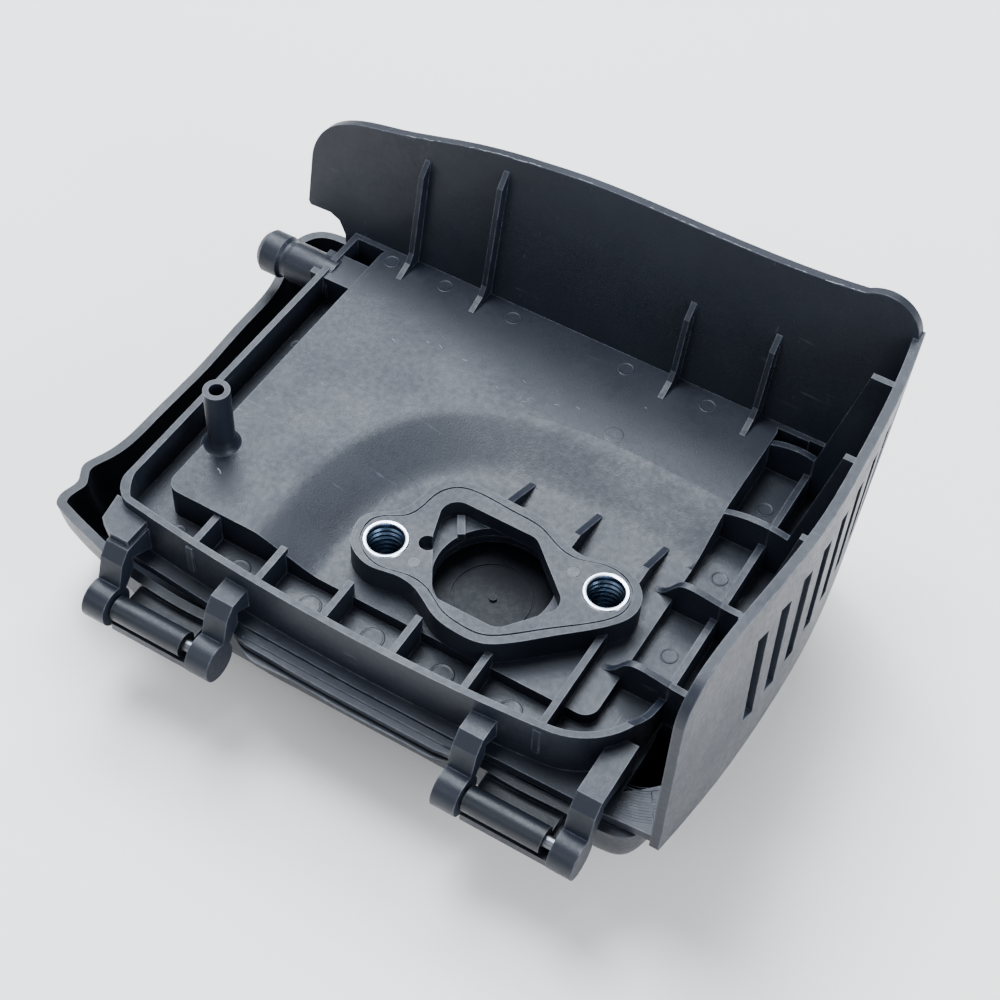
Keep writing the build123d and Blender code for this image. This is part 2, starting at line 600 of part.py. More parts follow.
def latch_clip():
    """Over-centre clip on the far side, swung clear of the base plate's tongue that it hooks over."""
    x = (LATCH_X[0] + 0.4, LATCH_X[1] - 0.4)
    hook_z = FLOOR_TOP + 0.3
    profile = [
        (LATCH_Y - 0.2, LATCH_Z - 2.5), (LATCH_Y + 1.6, LATCH_Z - 2.0), (LATCH_Y + 2.8, LATCH_Z - 7.0),
        (LATCH_Y + 4.4, LATCH_Z - 7.0), (LATCH_Y + 3.8, LATCH_Z), (LATCH_Y + 3.8, hook_z + 1.2),
        (LATCH_Y + 2.6, hook_z + 2.2), (LATCH_Y - 1.6, hook_z + 1.6), (LATCH_Y - 1.6, hook_z),
        (LATCH_Y + 1.8, hook_z), (LATCH_Y + 1.8, LATCH_Z + 2.4), (LATCH_Y, LATCH_Z + 2.5),
    ]
    clip = plate_x(profile, x) + rod_x(LATCH_Y, LATCH_Z, 2.5, x)
    clip -= rod_x(LATCH_Y, LATCH_Z, LATCH_BORE_R, (x[0] - 1.0, x[1] + 1.0))
    return Pos(0, LATCH_Y, LATCH_Z) * Rot(-LATCH_SWING, 0, 0) * Pos(0, -LATCH_Y, -LATCH_Z) * clip


def latch_pin():
    """Steel pin of the latch."""
    return rod_x(LATCH_Y, LATCH_Z, LATCH_PIN_R, (LATCH_X[0] - 2.2, LATCH_X[1] + 2.2))


def filter_seal_frame():
    """Soft frame that seals the filter against the base plate."""
    frame = ring_prism(WALL + 0.6, (FRAME_BOTTOM, FLOOR_BOTTOM - 0.1))
    window = block((PLEAT_X[0] - 0.2, PLEAT_X[1] + 0.2), (PLEAT_Y[0] - 0.2, PLEAT_Y[1] + 0.2), (-30.0, 0.0))
    return frame - window


def filter_pleats():
    """Folded filter paper."""
    pitch = (PLEAT_X[1] - PLEAT_X[0] - 1.0) / PLEATS
    low, high = PLEAT_Z
    paper = 0.8
    upper, lower = [], []
    for i in range(2 * PLEATS + 1):
        x = PLEAT_X[0] + 0.5 + i * pitch / 2
        z = high - paper if i % 2 == 0 else low + paper
        upper.append((x, z + paper))
        lower.append((x, z - paper))
    return plate_y(upper + lower[::-1], PLEAT_Y)


def filter_screen():
    """Wire screen on the clean side of the pleats."""
    z = (PLEAT_Z[1] + 0.1, PLEAT_Z[1] + 0.7)
    x, y = (PLEAT_X[0] + 0.1, PLEAT_X[1] - 0.1), (PLEAT_Y[0] + 0.1, PLEAT_Y[1] - 0.1)
    columns, rows = 12, 10
    screen = block(x, (y[0], y[0] + 1.0), z) + block(x, (y[1] - 1.0, y[1]), z)
    for i in range(columns + 1):
        at = x[0] + 0.5 + i * (x[1] - x[0] - 1.0) / columns
        screen += block((at - 0.5, at + 0.5), y, z)
    for i in range(1, rows):
        at = y[0] + i * (y[1] - y[0]) / rows
        screen += block(x, (at - 0.4, at + 0.4), z)
    return screen


def filter_foam():
    """Foam pad under the pleats, which catches coarse dust first."""
    pad = block((PLEAT_X[0] + 1.0, PLEAT_X[1] + 1.0), (PLEAT_Y[0] + 2.0, PLEAT_Y[1]), FOAM_Z)
    return fillet(pad.edges().filter_by(Axis.Z), 4.0)


PIECES = {
    "base_housing": base_housing,
    "carburettor_flange": carburettor_flange,
    "carburettor_shroud": carburettor_shroud,
    "sleeve_left": lambda: sleeve(0),
    "sleeve_right": lambda: sleeve(1),
    "intake_baffle": intake_baffle,
    "hinge_pin_left": lambda: hinge_pin(0),
    "hinge_pin_right": lambda: hinge_pin(1),
    "outer_cover": outer_cover,
    "latch_clip": latch_clip,
    "latch_pin": latch_pin,
    "filter_seal_frame": filter_seal_frame,
    "filter_pleats": filter_pleats,
    "filter_screen": filter_screen,
    "filter_foam": filter_foam,
}


if __name__ == "__main__":
    os.makedirs("parts", exist_ok=True)
    for name, make in PIECES.items():
        shape = make()
        shape.label = name
        export_step(shape, f"parts/{name}.step")
        print(name, round(shape.volume), shape.is_valid, len(shape.solids()))
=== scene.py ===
"""Looks for the air filter housing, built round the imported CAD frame.

Materials, the stage, the lights and the camera are in metres. Built pieces are worked out in
millimetres and turned into metres when their mesh is made.
"""

import math
import random

import bmesh
import bpy
from mathutils import Matrix, Vector, noise


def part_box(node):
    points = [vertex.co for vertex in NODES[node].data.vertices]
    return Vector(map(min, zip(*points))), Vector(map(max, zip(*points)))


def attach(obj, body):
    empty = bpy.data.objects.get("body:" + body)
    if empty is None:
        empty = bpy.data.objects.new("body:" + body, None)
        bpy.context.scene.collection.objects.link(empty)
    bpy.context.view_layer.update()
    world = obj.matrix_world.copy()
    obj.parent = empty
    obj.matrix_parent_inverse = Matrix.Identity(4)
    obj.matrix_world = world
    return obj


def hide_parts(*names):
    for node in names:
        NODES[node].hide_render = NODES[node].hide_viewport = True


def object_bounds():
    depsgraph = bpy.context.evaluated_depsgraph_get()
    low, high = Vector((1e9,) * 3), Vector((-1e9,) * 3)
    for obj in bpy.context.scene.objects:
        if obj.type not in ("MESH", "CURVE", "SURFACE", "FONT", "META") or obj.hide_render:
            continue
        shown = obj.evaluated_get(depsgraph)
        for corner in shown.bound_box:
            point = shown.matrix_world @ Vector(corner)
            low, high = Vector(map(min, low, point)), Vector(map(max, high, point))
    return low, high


MM = 0.001

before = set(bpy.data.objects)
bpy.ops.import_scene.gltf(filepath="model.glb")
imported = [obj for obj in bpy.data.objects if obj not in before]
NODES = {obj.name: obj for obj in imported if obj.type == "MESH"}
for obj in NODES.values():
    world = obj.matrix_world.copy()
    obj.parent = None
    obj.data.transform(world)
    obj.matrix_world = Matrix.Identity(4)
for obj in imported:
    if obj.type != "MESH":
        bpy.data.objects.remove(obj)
CAD_LOW, CAD_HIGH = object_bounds()


# ---- materials -----------------------------------------------------------------------

# How far the normal has to turn, as a cosine, before the edge wear starts and is full.
EDGE_START = 0.995
EDGE_FULL = 0.86
EDGE_RADIUS = 0.00045


class Nodes:
    """Shorthand for building a material's node tree."""

    def __init__(self, name):
        self.material = bpy.data.materials.new(name)
        self.material.use_nodes = True
        self.tree = self.material.node_tree
        self.tree.nodes.clear()
        self.shader = self.add("ShaderNodeBsdfPrincipled")
        self.output = self.add("ShaderNodeOutputMaterial")
        self.link(self.shader, "BSDF", self.output, "Surface")
        self.place = self.add("ShaderNodeTexCoord")

    def add(self, kind, **values):
        """New node, with any of its own settings."""
        node = self.tree.nodes.new(kind)
        for key, value in values.items():
            setattr(node, key, value)
        return node

    def link(self, a, out, b, into):
        self.tree.links.new(a.outputs[out], b.inputs[into])

    def mapped(self, scale, turn=(0, 0, 0)):
        """Object coordinates, turned and then stretched."""
        node = self.add("ShaderNodeMapping")
        node.inputs["Scale"].default_value = scale
        node.inputs["Rotation"].default_value = turn
        self.link(self.place, "Object", node, "Vector")
        return node

    def noise(self, scale, detail=2.0, roughness=0.5, vector=None):
        """Noise over the object coordinates, or over a mapping of them."""
        node = self.add("ShaderNodeTexNoise")
        node.inputs["Scale"].default_value = scale
        node.inputs["Detail"].default_value = detail
        node.inputs["Roughness"].default_value = roughness
        if vector is None:
            self.link(self.place, "Object", node, "Vector")
        else:
            self.link(vector, "Vector", node, "Vector")
        return node

    def ranged(self, source, out, low, high, to_low=0.0, to_high=1.0):
        """One output's low to high, stretched to another range and clamped."""
        node = self.add("ShaderNodeMapRange")
        node.inputs["From Min"].default_value = low
        node.inputs["From Max"].default_value = high
        node.inputs["To Min"].default_value = to_low
        node.inputs["To Max"].default_value = to_high
        self.link(source, out, node, "Value")
        return node

    def compute(self, operation, a, b):
        """Arithmetic on two values, each a (node, output) pair or a number."""
        node = self.add("ShaderNodeMath", operation=operation)
        for i, value in enumerate((a, b)):
            if isinstance(value, tuple):
                self.tree.links.new(value[0].outputs[value[1]], node.inputs[i])
            else:
                node.inputs[i].default_value = value
        return node

    def mix(self, factor, a, b):
        """Mix of two colours, each a mix node or three numbers; factor is a (node, output) pair."""
        node = self.add("ShaderNodeMix", data_type="RGBA")
        self.tree.links.new(factor[0].outputs[factor[1]], node.inputs["Factor"])
        for name, value in (("A", a), ("B", b)):
            socket = [s for s in node.inputs if s.name == name and s.type == "RGBA"][0]
            if isinstance(value, bpy.types.Node):
                self.tree.links.new(self.colour_out(value), socket)
            else:
                socket.default_value = (*value, 1.0)
        return node

    def edges(self, radius):
        """1 on sharp outer and inner edges, 0 on flats."""
        bevel = self.add("ShaderNodeBevel", samples=4)
        bevel.inputs["Radius"].default_value = radius
        geometry = self.add("ShaderNodeNewGeometry")
        dot = self.add("ShaderNodeVectorMath", operation="DOT_PRODUCT")
        self.tree.links.new(bevel.outputs["Normal"], dot.inputs[0])
        self.tree.links.new(geometry.outputs["Normal"], dot.inputs[1])
        return self.ranged(dot, "Value", EDGE_START, EDGE_FULL)

    def colour_out(self, node):
        """The colour output of a mix node."""
        return [s for s in node.outputs if s.type == "RGBA"][0]

    def set_colour(self, node):
        self.tree.links.new(self.colour_out(node), self.shader.inputs["Base Color"])

    def two_tone(self, pattern, low, high, dark, light):
        """Base colour that goes from dark to light with a noise pattern."""
        amount = self.ranged(pattern, "Fac", low, high)
        self.set_colour(self.mix((amount, "Result"), dark, light))

    def bump(self, height, strength, distance, normal=None):
        """Bump over an earlier one, if there is one; height is a (node, output) pair."""
        node = self.add("ShaderNodeBump")
        node.inputs["Strength"].default_value = strength
        node.inputs["Distance"].default_value = distance
        self.tree.links.new(height[0].outputs[height[1]], node.inputs["Height"])
        if normal is not None:
            self.link(normal, "Normal", node, "Normal")
        return node

    def set_bump(self, node):
        self.link(node, "Normal", self.shader, "Normal")


def scuff_streaks(m, amount):
    """Fine crossing scratches, kept to patches of the surface."""
    long_way = m.mapped((90.0, 1500.0, 400.0), (0.2, 0.1, 0.5))
    cross_way = m.mapped((1300.0, 70.0, 400.0), (0.1, 0.3, -0.35))
    streak_a = m.ranged(m.noise(1.0, 2.0, 0.5, long_way), "Fac", 0.69, 0.74)
    streak_b = m.ranged(m.noise(1.0, 2.0, 0.5, cross_way), "Fac", 0.70, 0.75)
    where = m.ranged(m.noise(34.0, 2.0), "Fac", 0.50, 0.62)
    streaks = m.compute("MAXIMUM", (streak_a, "Result"), (streak_b, "Result"))
    streaks = m.compute("MULTIPLY", (streaks, 0), (where, "Result"))
    return m.compute("MULTIPLY", (streaks, 0), amount)


def rubbed_edges(m):
    """Edge wear, broken up so that no edge is worn evenly."""
    edge = m.edges(EDGE_RADIUS)
    edge_break = m.ranged(m.noise(420.0, 3.0, 0.6), "Fac", 0.38, 0.66, 0.25, 1.0)
    return m.compute("MULTIPLY", (edge, "Result"), (edge_break, "Result"))


def moulded_plastic(name, dark, light, worn, rough, grain, scratch_amount, gloss_level=0.3):
    """Black moulded nylon: fine spark-eroded grain, flow clouding, scuffs, rubbed edges."""
    m = Nodes(name)
    cloud = m.ranged(m.noise(26.0, 4.0, 0.6), "Fac", 0.34, 0.7)
    base = m.mix((cloud, "Result"), dark, light)
    streaks = scuff_streaks(m, scratch_amount)
    rubbed = m.compute("MAXIMUM", (rubbed_edges(m), 0), (streaks, 0))
    rubbed = m.compute("MINIMUM", (rubbed, 0), 1.0)
    m.set_colour(m.mix((rubbed, 0), base, worn))
    gloss = m.ranged(m.noise(55.0, 3.0, 0.6), "Fac", 0.3, 0.7, rough[0], rough[1])
    fine = m.ranged(m.noise(900.0, 2.0), "Fac", 0.3, 0.7, -0.05, 0.05)
    gloss = m.compute("ADD", (gloss, "Result"), (fine, "Result"))
    m.link(gloss, 0, m.shader, "Roughness")
    pits = m.bump((m.noise(grain, 3.0, 0.65), "Fac"), 0.55, 0.00006)
    ripple = m.bump((m.noise(70.0, 2.0), "Fac"), 0.25, 0.0004, pits)
    m.set_bump(m.bump((streaks, 0), 0.3, 0.00006, ripple))
    m.shader.inputs["Specular IOR Level"].default_value = gloss_level
    return m.material


def bright_steel(name, dark, light, rough):
    """Zinc-plated steel with fine turning lines and a cloudy plating."""
    m = Nodes(name)
    m.two_tone(m.noise(180.0, 4.0, 0.6), 0.35, 0.7, dark, light)
    lines = m.noise(1.0, 2.0, 0.6, m.mapped((200.0, 200.0, 9000.0)))
    gloss = m.ranged(lines, "Fac", 0.3, 0.7, rough[0], rough[1])
    m.link(gloss, "Result", m.shader, "Roughness")
    turned = m.bump((lines, "Fac"), 0.35, 0.00004)
    m.set_bump(m.bump((m.noise(3200.0, 2.0), "Fac"), 0.12, 0.00002, turned))
    m.shader.inputs["Metallic"].default_value = 1.0
    return m.material


def soft_rubber(name, dark, light):
    """Moulded polyurethane: matt skin with tiny bubbles."""
    m = Nodes(name)
    m.two_tone(m.noise(90.0, 4.0, 0.6), 0.35, 0.7, dark, light)
    gloss = m.ranged(m.noise(140.0, 2.0), "Fac", 0.3, 0.7, 0.55, 0.75)
    m.link(gloss, "Result", m.shader, "Roughness")
    cells = m.add("ShaderNodeTexVoronoi")
    cells.inputs["Scale"].default_value = 1400.0
    m.link(m.place, "Object", cells, "Vector")
    bubbles = m.ranged(cells, "Distance", 0.12, 0.3)
    skin = m.bump((bubbles, "Result"), 0.3, 0.00008)
    m.set_bump(m.bump((m.noise(2600.0, 2.0), "Fac"), 0.3, 0.00005, skin))
    return m.material


def filter_paper(name, dark, light):
    """Resin-treated filter paper with fibres and a soft crease tone."""
    m = Nodes(name)
    fibres = m.noise(1.0, 4.0, 0.7, m.mapped((2600.0, 900.0, 2600.0), (0.0, 0.0, 0.6)))
    m.two_tone(fibres, 0.3, 0.72, dark, light)
    m.shader.inputs["Roughness"].default_value = 0.85
    felt = m.bump((fibres, "Fac"), 0.5, 0.00006)
    m.set_bump(m.bump((m.noise(240.0, 3.0), "Fac"), 0.3, 0.0002, felt))
    m.shader.inputs["Sheen Weight"].default_value = 0.15
    return m.material


def open_foam(name, dark, light):
    """Open-cell foam: dark cell mouths between lighter struts."""
    m = Nodes(name)
    cells = m.add("ShaderNodeTexVoronoi", feature="DISTANCE_TO_EDGE")
    cells.inputs["Scale"].default_value = 1050.0
    m.link(m.place, "Object", cells, "Vector")
    strut = m.ranged(cells, "Distance", 0.04, 0.3)
    m.set_colour(m.mix((strut, "Result"), light, dark))
    m.shader.inputs["Roughness"].default_value = 0.9
    mouths = m.bump((strut, "Result"), -0.8, 0.0004)
    m.set_bump(m.bump((m.noise(700.0, 3.0), "Fac"), 0.35, 0.0003, mouths))
    return m.material


def painted_floor(name):
    """Pale matt paper sweep."""
    m = Nodes(name)
    m.set_colour(m.mix((m.noise(3.0, 2.0), "Fac"), (0.9, 0.86, 0.82), (0.93, 0.89, 0.85)))
    m.shader.inputs["Roughness"].default_value = 0.7
    m.set_bump(m.bump((m.noise(260.0, 3.0), "Fac"), 0.05, 0.0003))
    return m.material


HOUSING = moulded_plastic(
    "housing_plastic",
    dark=(0.0065, 0.0085, 0.0145),
    light=(0.012, 0.015, 0.0225),
    worn=(0.09, 0.1, 0.125),
    rough=(0.36, 0.5),
    grain=2600.0,
    scratch_amount=0.35,
)
COVER = moulded_plastic(
    "cover_plastic",
    dark=(0.0065, 0.008, 0.012),
    light=(0.011, 0.0135, 0.019),
    worn=(0.07, 0.078, 0.095),
    rough=(0.36, 0.48),
    grain=2200.0,
    scratch_amount=0.35,
)
# Darker copy of the housing plastic for the baffle deep in the mouth: painted shade for that recess.
BAFFLE_PAINTED_SHADE = moulded_plastic(
    "baffle_plastic_painted_shade",
    dark=(0.004, 0.005, 0.007),
    light=(0.007, 0.008, 0.011),
    worn=(0.02, 0.023, 0.03),
    rough=(0.4, 0.5),
    grain=2400.0,
    scratch_amount=0.15,
    gloss_level=0.1,
)
CLIP = moulded_plastic(
    "clip_plastic",
    dark=(0.008, 0.01, 0.015),
    light=(0.014, 0.017, 0.024),
    worn=(0.08, 0.09, 0.11),
    rough=(0.34, 0.46),
    grain=2600.0,
    scratch_amount=0.3,
)
MARK = moulded_plastic(
    "mark_plastic",
    dark=(0.011, 0.014, 0.021),
    light=(0.018, 0.022, 0.031),
    worn=(0.09, 0.1, 0.125),
    rough=(0.3, 0.4),
    grain=3000.0,
    scratch_amount=0.1,
)
NICK = moulded_plastic(
    "nick_plastic",
    dark=(0.08, 0.088, 0.11),
    light=(0.2, 0.215, 0.25),
    worn=(0.3, 0.32, 0.36),
    rough=(0.4, 0.6),
    grain=3000.0,
    scratch_amount=0.1,
    gloss_level=0.4,
)
STEEL = bright_steel("zinc_steel", (0.5, 0.54, 0.6), (0.64, 0.68, 0.75), (0.18, 0.36))
# Darker, bluer copy of the zinc steel for the inside of the sleeve bores: painted shade in the bore, not
# a different finish.
BORE_PAINTED_SHADE_STEEL = bright_steel("sleeve_bore_painted_shade_steel", (0.05, 0.08, 0.125), (0.12, 0.165, 0.235), (0.24, 0.38))
PIN_STEEL = bright_steel("pin_steel", (0.1, 0.105, 0.115), (0.17, 0.175, 0.19), (0.32, 0.5))
WIRE = bright_steel("wire_steel", (0.42, 0.43, 0.45), (0.56, 0.57, 0.6), (0.3, 0.45))
SEAL = soft_rubber("seal_rubber", (0.05, 0.05, 0.052), (0.085, 0.085, 0.088))
PAPER = filter_paper("pleat_paper", (0.56, 0.47, 0.29), (0.74, 0.65, 0.45))
FOAM = open_foam("cell_foam", (0.012, 0.012, 0.014), (0.07, 0.07, 0.075))


# ---- carried-over CAD nodes --------------------------------------------------------------

WELD_DISTANCE = 0.000005
SHARP_ANGLE = 32.0

# Node: its material and the radius of its softened edges.
FINISH = {
    "base_housing": (HOUSING, 0.00034),
    "carburettor_flange": (HOUSING, 0.0003),
    "carburettor_shroud": (HOUSING, 0.0003),
    "outer_cover": (COVER, 0.0003),
    "intake_baffle": (BAFFLE_PAINTED_SHADE, 0.0001),
    "sleeve_left": (STEEL, 0.0),
    "sleeve_right": (STEEL, 0.0),
    "hinge_pin_left": (PIN_STEEL, 0.0),
    "hinge_pin_right": (PIN_STEEL, 0.0),
    "latch_clip": (CLIP, 0.0002),
    "latch_pin": (PIN_STEEL, 0.0),
    "filter_seal_frame": (SEAL, 0.0004),
    "filter_pleats": (PAPER, 0.0),
    "filter_screen": (WIRE, 0.0),
    "filter_foam": (FOAM, 0.0),
}


def give(obj, material):
    """Leaves a piece with one material."""
    obj.data.materials.clear()
    obj.data.materials.append(material)


def soften(obj, width):
    """Rounds the sharp edges of a carried-over CAD node."""
    weld = obj.modifiers.new("weld", "WELD")
    weld.merge_threshold = WELD_DISTANCE
    bevel = obj.modifiers.new("bevel", "BEVEL")
    bevel.width = width
    bevel.segments = 2
    bevel.limit_method = "ANGLE"
    bevel.angle_limit = math.radians(SHARP_ANGLE)
    bevel.use_clamp_overlap = True
    bevel.harden_normals = False
    normals = obj.modifiers.new("normals", "WEIGHTED_NORMAL")
    normals.keep_sharp = True


for node_name, (node_material, edge_width) in FINISH.items():
    give(NODES[node_name], node_material)
    if edge_width > 0:
        soften(NODES[node_name], edge_width)


# ---- built pieces ----------------------------------------------------------------------


def linked(name, data):
    """New object, put in the scene."""
    obj = bpy.data.objects.new(name, data)
    bpy.context.collection.objects.link(obj)
    return obj


def smooth_faces(mesh):
    """Smooth shading on a whole mesh."""
    for face in mesh.polygons:
        face.use_smooth = True


def mesh_piece(name, verts, faces, material, body="housing"):
    """New mesh piece, given in millimetres, that moves with a CAD body."""
    mesh = bpy.data.meshes.new(name)
    mesh.from_pydata([tuple(MM * value for value in v) for v in verts], [], faces)
    mesh.update()
    smooth_faces(mesh)
    obj = linked(name, mesh)
    give(obj, material)
    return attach(obj, body)


def outward(obj):
    """Makes every face of a closed piece look outwards."""
    work = bmesh.new()
    work.from_mesh(obj.data)
    bmesh.ops.recalc_face_normals(work, faces=work.faces)
    work.to_mesh(obj.data)
    work.free()
    return obj


def split_edges(obj, degrees):
    """Keeps edges sharper than an angle crisp under smooth shading."""
    split = obj.modifiers.new("split", "EDGE_SPLIT")
    split.split_angle = math.radians(degrees)


def box_mm(node):
    """A CAD node's box in millimetres."""
    low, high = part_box(node)
    return low / MM, high / MM


def lathe(profile, centre, sides):
    """Closed ring of revolution about a vertical axis; profile is (radius, height) points."""
    verts = []
    faces = []
    count = len(profile)
    for i in range(sides):
        angle = 2 * math.pi * i / sides
        for radius, height in profile:
            x = centre[0] + radius * math.cos(angle)
            y = centre[1] + radius * math.sin(angle)
            verts.append((x, y, height))
    for i in range(sides):
        j = (i + 1) % sides
        for k in range(count):
            n = (k + 1) % count
            faces.append((i * count + k, j * count + k, j * count + n, i * count + n))
    return verts, faces


def tube(points, radius, sides=6):
    """Thin round bead along a line of points."""
    verts = []
    faces = []
    last = len(points) - 1
    for i, point in enumerate(points):
        along = (Vector(points[min(i + 1, last)]) - Vector(points[max(i - 1, 0)])).normalized()
        side = along.cross(Vector((0, 0, 1)))
        side = side.normalized() if side.length > 0.01 else Vector((1, 0, 0))
        up = side.cross(along)
        for k in range(sides):
            angle = 2 * math.pi * k / sides
            verts.append(tuple(Vector(point) + radius * (math.cos(angle) * side + math.sin(angle) * up)))
    for i in range(last):
        for k in range(sides):
            n = (k + 1) % sides
            faces.append((i * sides + k, i * sides + n, (i + 1) * sides + n, (i + 1) * sides + k))
    faces.append(tuple(range(sides)))
    faces.append(tuple(last * sides + k for k in reversed(range(sides))))
    return verts, faces


def joined(parts):
    """Several (verts, faces) pairs as one."""
    verts = []
    faces = []
    for more_verts, more_faces in parts:
        start = len(verts)
        verts += more_verts
        faces += [tuple(start + i for i in face) for face in more_faces]
    return verts, faces


# ---- sleeves ---------------------------------------------------------------------------

SLEEVE_BORE = 3.5
GROOVE_PITCH = 1.3
GROOVE_DEPTH = 0.3


def sleeve_profile(outer, bottom, top):
    """Outline of half a sleeve, from the foot of the bore round the collar to the outside."""
    bore = SLEEVE_BORE
    groove = bore + GROOVE_DEPTH
    profile = [(bore + 0.25, bottom + 0.02), (bore, bottom + 0.3)]
    height = bottom + 0.8
    while height < top - 1.6:
        profile.append((bore, height))
        profile.append((groove, height + 0.35))
        profile.append((groove, height + 0.6))
        profile.append((bore, height + 0.95))
        height += GROOVE_PITCH
    profile += [(bore, top - 0.35), (bore + 0.12, top - 0.08), (bore + 0.3, top)]
    profile += [(outer - 0.22, top), (outer, top - 0.25)]
    profile += [(outer, bottom + 0.25), (outer - 0.25, bottom + 0.02)]
    return profile


def turned_sleeve(name):
    """Spacer sleeve with a bright collar and turned grooves in its bore, which gets a darker copy of the
    steel as painted shade.
    """
    low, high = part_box(name)
    centre = ((low.x + high.x) / 2 / MM, (low.y + high.y) / 2 / MM)
    outer = (high.x - low.x) / 2 / MM
    top = high.z / MM
    verts, faces = lathe(sleeve_profile(outer, low.z / MM, top), centre, 72)
    piece = outward(mesh_piece(name + "_turned", verts, faces, STEEL))
    # The second material is the darker bore steel: painted shade for the inside of the bore.
    piece.data.materials.append(BORE_PAINTED_SHADE_STEEL)
    for face in piece.data.polygons:
        away = math.hypot(face.center.x - centre[0] * MM, face.center.y - centre[1] * MM)
        in_bore = away < (SLEEVE_BORE + 0.36) * MM
        below_collar = face.center.z < (top - 0.5) * MM
        face.material_index = 1 if in_bore and below_collar else 0
    split_edges(piece, 40)
    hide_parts(name)


for sleeve_name in ("sleeve_left", "sleeve_right"):
    turned_sleeve(sleeve_name)


# ---- moulding marks --------------------------------------------------------------------

# Heights from which the rays that find a surface are sent down.
ABOVE_ROOF = 1.0
ABOVE_TROUGH = -6.5
ABOVE_LIP = -10.0
ABOVE_WALL = 60.0

MARK_SIDES = 36
# (part of the radius, lift over the surface) of each ring; None stands for the rim's own height.
MARK_RINGS = [(0.7, 0.03), (0.82, 0.035), (0.9, None), (0.96, None), (1.04, -0.03)]
MARK_LIFT = 0.03

ROOF_MARKS = [
    (-60.0, 58.2, 1.75),
    (-46.7, 58.1, 1.75),
    (-30.0, 57.8, 1.75),
    (-3.5, 57.8, 1.75),
    (15.0, 57.8, 1.75),
]
FAINT_MARKS = [(2.8, 41.0, 2.0)]
FLANGE_MARKS = [(-13.0, -7.3, 1.3), (13.0, 6.5, 1.3)]
TROUGH_MARKS = [
    (-58.5, -19.6, 1.8),
    (-43.5, -20.6, 2.3),
    (-27.5, -20.7, 2.4),
    (-13.7, -20.5, 2.4),
    (1.3, -20.5, 2.4),
    (15.7, -20.5, 2.3),
    (30.6, -18.4, 1.8),
    (34.5, 5.2, 1.7),
    (34.5, 26.0, 1.7),
    (34.5, 46.0, 1.7),
    (-67.3, 8.0, 1.4),
    (-67.3, 33.0, 1.4),
]


def surface_height(node, x, y, above):
    """Height of a CAD node's upper surface under a point, in millimetres, or None."""
    hit, place, normal, _ = NODES[node].ray_cast(Vector((x, y, above)) * MM, Vector((0, 0, -1)))
    return place.z / MM if hit and normal.z > 0.5 else None


def ejector_mark(node, x, y, radius, above, rim):
    """Round witness mark: a slightly proud rim round a flat disc that follows the surface."""
    base = surface_height(node, x, y, above)
    if base is None:
        return None
    verts = [(x, y, base + MARK_LIFT)]
    faces = []
    for part, lift in MARK_RINGS:
        for k in range(MARK_SIDES):
            angle = 2 * math.pi * k / MARK_SIDES
            px = x + radius * part * math.cos(angle)
            py = y + radius * part * math.sin(angle)
            level = surface_height(node, px, py, above)
            if level is None or abs(level - base) > 0.8:
                level = base
            verts.append((px, py, level + (rim if lift is None else lift)))
    for k in range(MARK_SIDES):
        faces.append((0, 1 + k, 1 + (k + 1) % MARK_SIDES))
    for i in range(len(MARK_RINGS) - 1):
        inner = 1 + i * MARK_SIDES
        outer = inner + MARK_SIDES
        for k in range(MARK_SIDES):
            n = (k + 1) % MARK_SIDES
            faces.append((inner + k, outer + k, outer + n, inner + n))
    return verts, faces


def mark_group(name, node, spots, above, material, rim):
    """Several witness marks as one piece."""
    parts = [ejector_mark(node, x, y, radius, above, rim) for x, y, radius in spots]
    verts, faces = joined([part for part in parts if part])
    mesh_piece(name, verts, faces, material)


mark_group("roof_ejector_marks", "base_housing", ROOF_MARKS, ABOVE_ROOF, MARK, rim=0.09)
mark_group("roof_faint_mark", "base_housing", FAINT_MARKS, ABOVE_ROOF, HOUSING, rim=0.03)
mark_group("flange_ejector_marks", "carburettor_flange", FLANGE_MARKS, ABOVE_ROOF, MARK, rim=0.02)
mark_group("trough_ejector_marks", "base_housing", TROUGH_MARKS, ABOVE_TROUGH, HOUSING, rim=0.12)


# Places of the small rubs in the roof, before they are scattered.
NICK_SPOTS = [
    (-47, 40),
    (-42, 42),
    (-37, 42),
    (-31, 41),
    (-24, 40),
    (-19, 43),
    (-15, 38),
    (-11, 42),
    (-8, 44),
    (4, 50),
    (-52, 22),
    (-3, 34),
]
NICK_SCATTER = 1.5
LARGE_NICK = (-56.5, -7.8)


def small_nick(rng, x, y, base):
    """Short raised rub, turned and sized by chance."""
    turn = rng.uniform(-0.5, 0.4)
    size = rng.uniform(0.15, 0.6)
    line = []
    for k in range(5):
        t = (k / 4 - 0.5) * 2 * size
        level = base - 0.03 + 0.05 * (1 - abs(k / 2 - 1))
        waver = rng.uniform(-0.05, 0.05)
        line.append((x + t * math.cos(turn), y + t * math.sin(turn) + waver, level))
    return tube(line, rng.uniform(0.04, 0.07), 5)


def nicks():
    """Small rubs in the roof of the chamber and one larger nick near the vent nipple."""
    rng = random.Random(41)
    parts = []
    for x, y in NICK_SPOTS:
        x += rng.uniform(-NICK_SCATTER, NICK_SCATTER)
        y += rng.uniform(-NICK_SCATTER, NICK_SCATTER)
        base = surface_height("base_housing", x, y, ABOVE_ROOF)
        if base is not None:
            parts.append(small_nick(rng, x, y, base))
    x, y = LARGE_NICK
    base = surface_height("base_housing", x, y, ABOVE_ROOF)
    line = [(x - 0.7, y + 0.3, base - 0.02), (x, y, base + 0.08), (x + 0.6, y - 0.5, base - 0.02)]
    parts.append(tube(line, 0.16, 6))
    verts, faces = joined(parts)
    mesh_piece("roof_nicks", verts, faces, NICK)


nicks()


